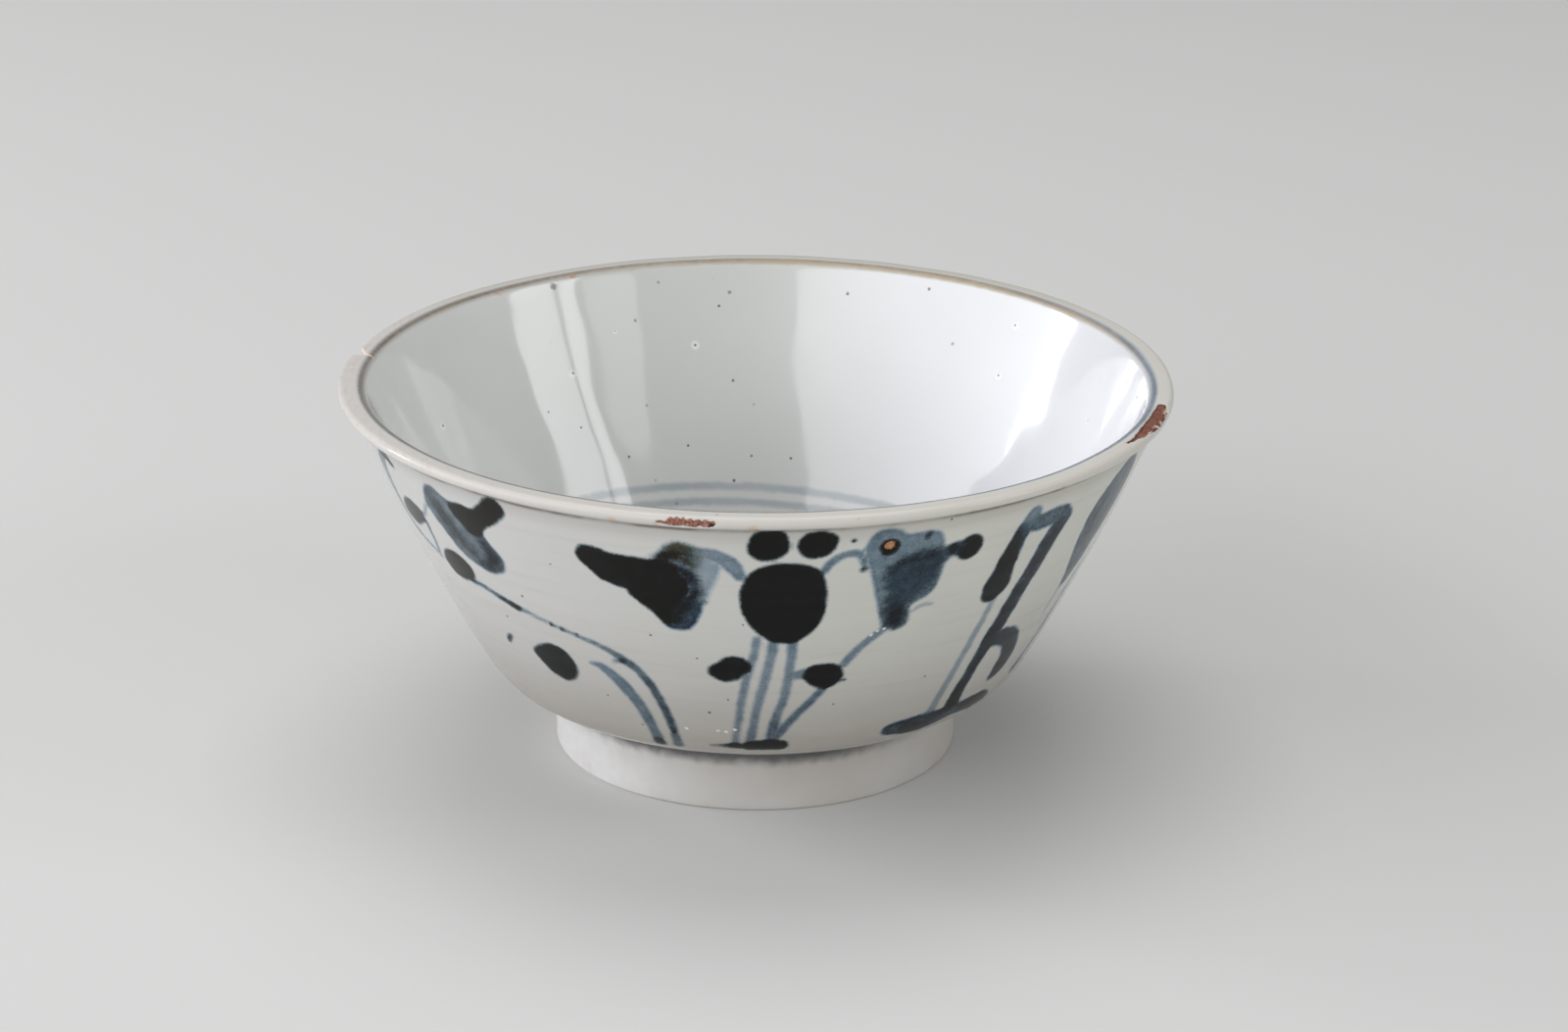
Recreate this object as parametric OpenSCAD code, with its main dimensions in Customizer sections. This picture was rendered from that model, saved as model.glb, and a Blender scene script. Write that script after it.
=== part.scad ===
// Thrown pottery bowl with a tall turned foot and a broken rim.
// The bowl stands on its foot ring at z = 0, and its axis is the Z axis.
// Its section is one closed outline, [distance from the axis, height], turned all the way round.
// Three breaks are cut from the lip: a notch right through it, and two flakes off its glaze.

/* [Rim] */
// Diameter over the lip
rim_d = 150; // [125:1:180]
// Height of the whole bowl
bowl_h = 69.7; // [58:0.1:84]
// Radius of the lip's rounded outer edge
lip_r = 1; // [0.7:0.1:1.3]
// How far the lip stands out past the wall under it
lip_out = 2; // [1.6:0.1:3]
// Height of the lip, from the wall under it to the top
lip_h = 2.7; // [2.3:0.1:3.5]
// Slope of the lip's underside, in degrees above level
lip_under = 30; // [15:1:45]
// Width of the curve from the lip's top down to the inside
lip_turn = 1.9; // [1.2:0.1:2.5]

/* [Wall] */
// Thickness of the wall just under the lip
wall_top_t = 3.2; // [2.6:0.1:4.2]
// Thickness of the wall where the belly begins
wall_low_t = 3.6; // [3:0.1:5]
// How far the wall bows out from a straight line
wall_bow = 0.8; // [0:0.1:2]
// Height at which the wall meets the belly
belly_h = 22.6; // [20:0.1:28]
// Diameter of the bowl where the wall meets the belly
belly_d = 104; // [92:0.1:112]
// Slope of the belly where it leaves the foot, in degrees
belly_slope = 12; // [5:1:25]
// Fullness of the belly's turn, from tight to full
belly_full = 0.48; // [0.3:0.01:0.6]

/* [Foot] */
// Diameter over the foot ring's resting edge
foot_d = 73.9; // [62:0.1:84]
// Height of the foot ring outside
foot_h = 12.3; // [10:0.1:15]
// How far the foot ring widens up to the belly, on each side
foot_flare = 0.25; // [0:0.05:1]
// Width of the ring that the bowl rests on
foot_ring = 5.2; // [4:0.1:8]
// Slant of the ring's inner face, measured across
foot_slant = 1; // [0:0.1:2]
// Bevel on both edges of the resting ring
foot_bevel = 0.4; // [0.2:0.1:1]
// Height of the hollow under the bowl
hollow_h = 9.5; // [7:0.1:11]

/* [Inside] */
// Thickness of the floor over the hollow
floor_t = 6; // [4.5:0.1:8]
// Diameter of the level floor inside
floor_d = 60; // [40:1:68]

/* [Breaks] */
// Place of the notch's mouth around the rim, in degrees
notch_at = 170; // [150:1:175]
// Width of the notch at the lip's outer edge
notch_w = 5; // [3:0.1:8]
// How far the notch reaches in from the rim
notch_in = 4.9; // [3:0.1:5.5]
// How far the notch's point lies to one side of its mouth
notch_skew = 4; // [-5:0.1:5]
// Height of the notch at its point, under the lip's top
notch_deep = 0.9; // [0.5:0.1:2]
// Slope of the notch's floor, down and outward, in degrees
notch_slope = 33; // [0:1:45]
// Place of the worn patch on the lip's top, in degrees
worn_at = -19; // [-60:1:60]
// Length of the worn patch
worn_l = 9; // [4:0.1:12]
// Width of the worn patch
worn_w = 2.4; // [1:0.1:3]
// Depth of the worn patch
worn_deep = 0.3; // [0.1:0.05:0.6]
// Place of the flake on the lip's outer edge, in degrees
flake_at = -98.4; // [-150:0.1:-30]
// Length of the flake
flake_l = 7.5; // [3:0.1:12]
// Depth of the flake
flake_deep = 0.4; // [0.1:0.05:0.7]

/* [Hidden] */
$fn = 180;

curve_n = 14;
small_n = 7;
turn_full = 0.4;
rim_r = rim_d / 2;
foot_r = foot_d / 2;
belly_r = belly_d / 2;
floor_h = hollow_h + floor_t;

// The outer wall runs from the belly up to the lip's underside, and the inner wall is the same
// line moved in by the two thicknesses.
wall_low = [belly_r, belly_h];
wall_top = [rim_r - lip_out, bowl_h - lip_h];
wall_dir = (wall_top - wall_low) / norm(wall_top - wall_low);
wall_in = [-wall_dir.y, wall_dir.x];
inner_low = wall_low + wall_low_t * wall_in;
inner_top = wall_top + wall_top_t * wall_in;

// Direction of a bowed line at its start: straight, then turned by the bow.
function start_dir(a, b, bow) =
    let (step = b - a, side = [step.y, -step.x] / norm(step))
    let (d = step + 4 * bow * side)
    d / norm(d);

// A line from a to b that stands out to its right by bow at the middle.
function bowed(a, b, bow, n) =
    let (side = [b.y - a.y, a.x - b.x] / norm(b - a))
    [for (i = [0 : n]) let (t = i / n) a + t * (b - a) + 4 * bow * t * (1 - t) * side];

// A round stretch about c, from angle a0 to angle a1.
function arc(c, r, a0, a1, n) =
    [for (i = [0 : n]) let (a = a0 + (a1 - a0) * i / n) c + r * [cos(a), sin(a)]];

// A smooth stretch from a to b that leaves along u and arrives along v. It keeps to each of
// them for a share of the straight distance: the larger the share, the fuller the turn.
function blend(a, u, b, v, share, n) =
    let (pull = share * norm(b - a), p = a + pull * u, q = b - pull * v)
    [for (i = [0 : n])
        let (t = i / n, s = 1 - t)
        s * s * s * a + 3 * s * s * t * p + 3 * s * t * t * q + t * t * t * b];

// The hollow under the floor and the foot ring, from the axis out to the belly.
foot_line = [
    [0, hollow_h],
    [foot_r - foot_ring - foot_slant, hollow_h],
    [foot_r - foot_ring, foot_bevel],
    [foot_r - foot_ring + foot_bevel, 0],
    [foot_r - foot_bevel, 0],
    [foot_r, foot_bevel],
    [foot_r + foot_flare, foot_h],
];

// The belly turns out of the foot and up into the wall, which runs on to the lip.
belly_line = blend(
    [foot_r + foot_flare, foot_h], [cos(belly_slope), sin(belly_slope)],
    wall_low, start_dir(wall_low, wall_top, wall_bow), belly_full, curve_n);
outer_line = bowed(wall_low, wall_top, wall_bow, curve_n);

// The lip: underside, rounded outer edge, level top and the turn down to the inside.
edge_c = [rim_r - lip_r, bowl_h - lip_r];
edge_line = arc(edge_c, lip_r, lip_under - 90, 90, 2 * small_n);
turn_start = [inner_top.x + lip_turn, bowl_h];
inner_down = start_dir(inner_top, inner_low, -wall_bow);
turn_line = blend(turn_start, [-1, 0], inner_top, inner_down, turn_full, small_n);

// The inside, from the lip down the wall and round to the level floor.
inner_line = bowed(inner_top, inner_low, -wall_bow, curve_n);
floor_dir = -start_dir(inner_low, inner_top, wall_bow);
floor_line = blend(inner_low, floor_dir, [floor_d / 2, floor_h], [-1, 0], turn_full, curve_n);

// A line without its first point, so that two stretches share it only once.
function tail(line) = [for (i = [1 : len(line) - 1]) line[i]];

section = concat(
    foot_line, tail(belly_line), tail(outer_line), edge_line, turn_line,
    tail(inner_line), tail(floor_line), [[0, floor_h]]);

// The thrown and turned form, before it was broken.
module thrown() {
    rotate_extrude() polygon(section);
}

// The wedge that broke out of the lip: a point at the inside, a mouth at the outer edge, and a
// floor that falls outward. It runs on past the lip, so that it cuts clear.
module notch() {
    mouth = notch_in / cos(notch_slope);
    past = 2;
    rotate([0, 0, notch_at])
        translate([rim_r - notch_in, notch_skew, bowl_h - notch_deep])
            rotate([0, notch_slope, 0])
                linear_extrude(past * lip_h)
                    polygon(past * [
                        [0, 0],
                        [mouth, -notch_skew - notch_w / 2],
                        [mouth, -notch_skew + notch_w / 2],
                    ]);
}

// The shallow patch where the glaze is worn off the lip's top, inside its rounded edge.
module worn_patch() {
    rotate([0, 0, worn_at])
        translate([rim_r - lip_r - worn_w, -worn_l / 2, bowl_h - worn_deep])
            cube([worn_w, worn_l, 2 * worn_deep]);
}

// The flake off the lip's outer edge, up to the middle of its rounding.
module flake() {
    rotate([0, 0, flake_at])
        translate([rim_r - flake_deep, -flake_l / 2, bowl_h - lip_h])
            cube([2 * flake_deep, flake_l, lip_h - lip_r]);
}

module bowl() {
    color("#cfcfc6")
        difference() {
            thrown();
            notch();
            worn_patch();
            flake();
        }
}

bowl();
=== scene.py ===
"""A thrown pottery bowl: pale grey glaze, loose dark blue-grey brushwork outside, a broken lip.

Lengths are in millimetres and angles in degrees unless a name says otherwise, and the meshes are
in metres. A place on the bowl is an angle round its axis, with 0 at +X and -90 at the front, and
a height, or a reach: the distance along the section from the top of the lip's edge, less than 0
down the outside and more than 0 down the inside.
"""

from math import cos, radians, sin

import bmesh
import bpy
import numpy as np
from mathutils import Matrix, Vector


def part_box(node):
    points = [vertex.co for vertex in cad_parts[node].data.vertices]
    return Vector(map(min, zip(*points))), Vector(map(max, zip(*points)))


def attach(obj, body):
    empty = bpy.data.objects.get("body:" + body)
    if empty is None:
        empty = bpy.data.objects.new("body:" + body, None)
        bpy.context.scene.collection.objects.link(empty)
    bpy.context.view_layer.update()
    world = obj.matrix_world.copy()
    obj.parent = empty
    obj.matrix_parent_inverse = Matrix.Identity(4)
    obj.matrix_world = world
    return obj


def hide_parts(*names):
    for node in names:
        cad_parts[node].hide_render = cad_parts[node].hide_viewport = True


MM = 0.001

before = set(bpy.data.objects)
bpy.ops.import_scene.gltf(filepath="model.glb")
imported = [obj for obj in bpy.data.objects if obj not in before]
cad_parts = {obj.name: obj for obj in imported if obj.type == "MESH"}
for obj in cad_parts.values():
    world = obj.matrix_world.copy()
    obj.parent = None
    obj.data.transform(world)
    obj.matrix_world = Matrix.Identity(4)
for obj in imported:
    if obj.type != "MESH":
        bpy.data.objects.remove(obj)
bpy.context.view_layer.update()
low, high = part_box("bowl")
rim_r = (high.x - low.x) / 2 / MM
bowl_h = (high.z - low.z) / MM


# ---------------------------------------------------------------- the section of the bowl

lip_r = 1.0
lip_out = 2.0
lip_h = 2.7
lip_under = 30
lip_turn = 1.9
wall_top_t = 3.2
wall_low_t = 3.6
wall_bow = 0.8
belly_r = 0.6933 * rim_r
belly_h = 22.6
belly_slope = 12
belly_full = 0.48
foot_r = 0.4927 * rim_r
foot_h = 12.3
foot_flare = 0.25
foot_ring = 5.2
foot_slant = 1.0
foot_edge = 0.5
hollow_h = 9.5
floor_h = 15.5
floor_r = 0.4 * rim_r


def unit(v):
    """The vector, made one long."""
    return np.asarray(v, float) / np.linalg.norm(v)


def start_dir(a, b, bow):
    """Direction of a bowed line at its start: straight, then turned by four times the bow."""
    step = b - a
    side = unit([step[1], -step[0]])
    return unit(step + 4 * bow * side)


def bowed(a, b, bow, n):
    """A line from a to b, plus 4 * bow * t * (1 - t) to its right, for t from 0 to 1."""
    t = np.linspace(0, 1, n + 1)[:, None]
    side = unit([b[1] - a[1], a[0] - b[0]])
    return a + t * (b - a) + 4 * bow * t * (1 - t) * side


def arc(centre, r, start, end, n):
    """A circle's points, centre + r * (cos a, sin a), for a from start to end."""
    a = np.radians(np.linspace(start, end, n + 1))
    return centre + r * np.stack([np.cos(a), np.sin(a)], 1)


def blend(a, u, b, v, share, n):
    """The cubic curve from a to b that leaves along u and arrives along v."""
    t = np.linspace(0, 1, n + 1)[:, None]
    s = 1 - t
    pull = share * np.linalg.norm(b - a)
    return s**3 * a + 3 * s * s * t * (a + pull * u) + 3 * s * t * t * (b - pull * v) + t**3 * b


def straight(a, b, n):
    """Evenly spaced points from a to b."""
    return a + np.linspace(0, 1, n + 1)[:, None] * (b - a)


def section():
    """The bowl's closed section from the hollow's middle out, up, over the lip and back in."""
    wall_low = np.array([belly_r, belly_h])
    wall_top = np.array([rim_r - lip_out, bowl_h - lip_h])
    run = unit(wall_top - wall_low)
    inward = np.array([-run[1], run[0]])
    inner_low = wall_low + wall_low_t * inward
    inner_top = wall_top + wall_top_t * inward
    in_r = foot_r - foot_ring
    roof = np.array([in_r - foot_slant, hollow_h])
    foot_top = np.array([foot_r + foot_flare, foot_h])
    e = foot_edge
    edge_c = np.array([rim_r - lip_r, bowl_h - lip_r])
    lip = arc(edge_c, lip_r, lip_under - 90, 90, 12)
    turn = np.array([inner_top[0] + lip_turn, bowl_h])
    down = start_dir(inner_top, inner_low, -wall_bow)
    turned = blend(turn, np.array([-1.0, 0.0]), inner_top, down, 0.4, 7)
    belly_dir = np.array([cos(radians(belly_slope)), sin(radians(belly_slope))])
    up = start_dir(wall_low, wall_top, wall_bow)
    floor_dir = -start_dir(inner_low, inner_top, wall_bow)
    floor_edge = np.array([floor_r, floor_h])
    parts = [
        straight(np.array([0, hollow_h]), roof, 6),
        straight(roof, np.array([in_r, e]), 4),
        arc(np.array([in_r + e, e]), e, 180, 270, 3),
        straight(np.array([in_r + e, 0]), np.array([foot_r - e, 0]), 3),
        arc(np.array([foot_r - e, e]), e, -90, 0, 4),
        straight(np.array([foot_r, e]), foot_top, 9),
        blend(foot_top, belly_dir, wall_low, up, belly_full, 20),
        bowed(wall_low, wall_top, wall_bow, 68),
        straight(wall_top, lip[0], 3),
        lip,
        straight(lip[-1], turn, 5),
        turned,
        bowed(inner_top, inner_low, -wall_bow, 26),
        blend(inner_low, floor_dir, floor_edge, np.array([-1.0, 0.0]), 0.4, 11),
        straight(floor_edge, np.array([0, floor_h]), 6),
    ]
    return np.concatenate([parts[0]] + [p[1:] for p in parts[1:]])


line = section()
steps = np.linalg.norm(np.diff(line, axis=0), axis=1)
edge_top = int(np.argmin(np.hypot(line[:, 0] - (rim_r - lip_r), line[:, 1] - bowl_h)))
run_mm = np.concatenate([[0], np.cumsum(steps)])
run_mm = run_mm - run_mm[edge_top]
foot_top_row = int(np.argmin(np.hypot(line[:, 0] - foot_r - foot_flare, line[:, 1] - foot_h)))
foot_top_mm = run_mm[foot_top_row]


def reach_at(height):
    """Reach of a height on the outside, between the foot and the lip."""
    outside = slice(foot_top_row, edge_top + 1)
    return np.interp(height, line[outside, 1], run_mm[outside])


def ripple(p, size, seed):
    """Smooth unevenness, mostly from -1 to 1: ten sine waves in set directions, over 4.5."""
    rng = np.random.default_rng(seed)
    way = rng.normal(size=(10, 3)) / size
    at = rng.uniform(0, 6.28, 10)
    return np.sin(p @ way.T + at).sum(1) / 4.5


def eased(x):
    """0 below 0, 1 above 1, and 3x^2 - 2x^3 between."""
    x = np.clip(x, 0, 1)
    return x * x * (3 - 2 * x)


# ---------------------------------------------------------------- brush marks as distances


def through(points, closed=False, n=5):
    """A smooth line through the points: the Catmull-Rom cubic of each four neighbours."""
    p = np.asarray(points, float)
    if closed:
        p = np.concatenate([p[-1:], p, p[:2]])
    else:
        p = np.concatenate([2 * p[:1] - p[1:2], p, 2 * p[-1:] - p[-2:-1]])
    a, b, c, d = p[:-3, None], p[1:-2, None], p[2:-1, None], p[3:, None]
    t = (np.arange(n) / n)[None, :, None]
    curve = b + t / 2 * (c - a + t * (2 * a - 5 * b + 4 * c - d + t * (3 * (b - c) + d - a)))
    curve = curve.reshape(-1, p.shape[1])
    return np.concatenate([curve, curve[:1] if closed else p[-2:-1]])


def seen_from(at, curve):
    """The curve's points in millimetres from each place: across, round the bowl, and along."""
    turn = (curve[None, :, 0] - at[:, None, 0] + 180) % 360 - 180
    return np.radians(turn) * at[:, None, 2], curve[None, :, 1] - at[:, None, 1]


def off_pieces(x, y):
    """Distance from the origin to each straight piece of a line, and the share along it."""
    dx, dy = np.diff(x, axis=1), np.diff(y, axis=1)
    length = np.maximum(dx * dx + dy * dy, 1e-9)
    t = np.clip(-(x[:, :-1] * dx + y[:, :-1] * dy) / length, 0, 1)
    return np.hypot(x[:, :-1] + t * dx, y[:, :-1] + t * dy), t


def near(at, curve, margin):
    """Which places lie within the margin of the curve's own box."""
    middle = (curve[:, 0].min() + curve[:, 0].max()) / 2
    half = (curve[:, 0].max() - curve[:, 0].min()) / 2 + margin / 0.8
    turn = np.abs((at[:, 0] - middle + 180) % 360 - 180)
    level = (at[:, 1] > curve[:, 1].min() - margin) & (at[:, 1] < curve[:, 1].max() + margin)
    return np.where((turn < half) & level)[0]


def brush(at, points):
    """How far inside a brush line each place is: half its width there less the distance to its
    middle. A point of the line is (angle, reach, half width, load)."""
    curve = through(points)
    chosen = near(at, curve, 5)
    x, y = seen_from(at[chosen], curve)
    away, t = off_pieces(x, y)
    half = curve[:-1, 2] + t * np.diff(curve[:, 2])
    load = curve[:-1, 3] + t * np.diff(curve[:, 3])
    inside = half - away
    best = inside.argmax(1)
    row = np.arange(len(chosen))
    return chosen, inside[row, best], load[row, best]


def patch(at, points):
    """How far inside a closed outline each place is, less than 0 outside it. A point of the
    outline is (angle, reach)."""
    curve = through(points, closed=True)
    chosen = near(at, curve, 5)
    x, y = seen_from(at[chosen], curve)
    away = off_pieces(x, y)[0].min(1)
    x0, x1, y0, y1 = x[:, :-1], x[:, 1:], y[:, :-1], y[:, 1:]
    meets = (y0 > 0) != (y1 > 0)
    rise = np.where(meets, y1 - y0, 1)
    crossed = meets & (x0 - y0 * (x1 - x0) / rise > 0)
    odd = crossed.sum(1) % 2 == 1
    return chosen, np.where(odd, away, -away)


FAR = -4.0


def painted(at, marks):
    """For each place: how far inside the marks it is, their load of paint, and their warmth.
    Where marks lie close together, load and warmth are shared by exp(3 * distance inside)."""
    depth = np.full(len(at), FAR)
    weight = np.full(len(at), 1e-9)
    load = np.zeros(len(at))
    warm = np.zeros(len(at))
    for warmth, amount, points, *more in marks:
        p = np.array([(*q, *(0,) * (4 - len(q))) for q in points], float)
        p[:, 1] = reach_at(p[:, 1])
        if len(points[0]) == 2:
            chosen, inside = patch(at, p[:, :2])
            own = np.full(len(chosen), amount)
        else:
            p[:, 3] = amount + p[:, 3]
            chosen, inside, own = brush(at, p)
        inside = inside / (more[0] if more else 1)
        share = np.exp(3 * np.clip(inside, FAR, 0.8))
        depth[chosen] = np.maximum(depth[chosen], inside)
        weight[chosen] += share
        load[chosen] += share * own
        warm[chosen] += share * warmth
    return np.stack([depth, load / weight, warm / weight], 1)


def dot(angle, height, across, along=None):
    """A round dab's outline, from its half width and half height. One degree round the wall is
    about 1.2 mm, and 1 mm of height is 1.106 mm along it."""
    a = np.radians(np.arange(0, 360, 45))
    turn = angle + across * np.cos(a) / 1.2
    rise = height + (along or across) * np.sin(a) / 1.106
    return list(zip(turn, rise))


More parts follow.
